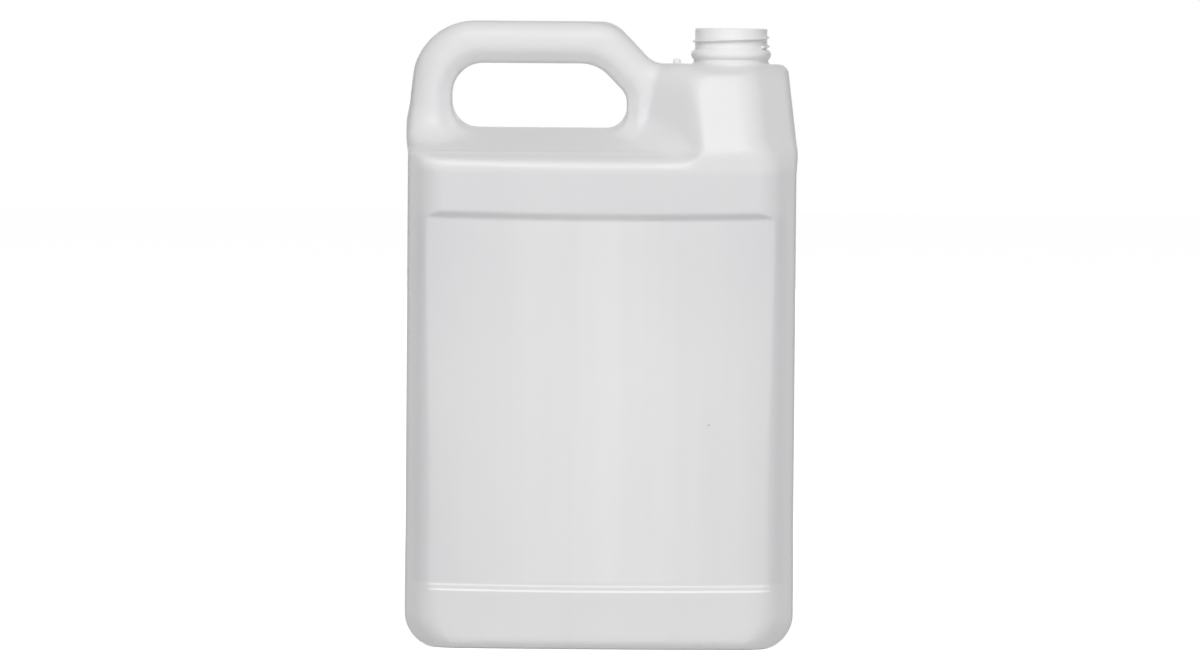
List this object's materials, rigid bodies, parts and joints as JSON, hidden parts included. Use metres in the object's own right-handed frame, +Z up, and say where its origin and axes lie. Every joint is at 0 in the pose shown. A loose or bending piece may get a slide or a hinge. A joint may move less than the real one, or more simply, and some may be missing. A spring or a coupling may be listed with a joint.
{
  "type": "f-style jug",
  "caption": "Upright rectangular blow-moulded jug with a through grip handle, recessed label panels and an offset screw neck, cap off.",
  "frame": {"origin": "middle of the foot, on the surface that the jug stands on", "axes": "+Z up, +X towards the neck, -Y out of the front label panel"},
  "size_m": [0.1877, 0.096, 0.298],
  "materials": {
    "natural_polyethylene": "milky, slightly translucent, satin sheen"
  },
  "bodies": {
    "root": {"jug": "natural_polyethylene"}
  },
  "joints": []
}
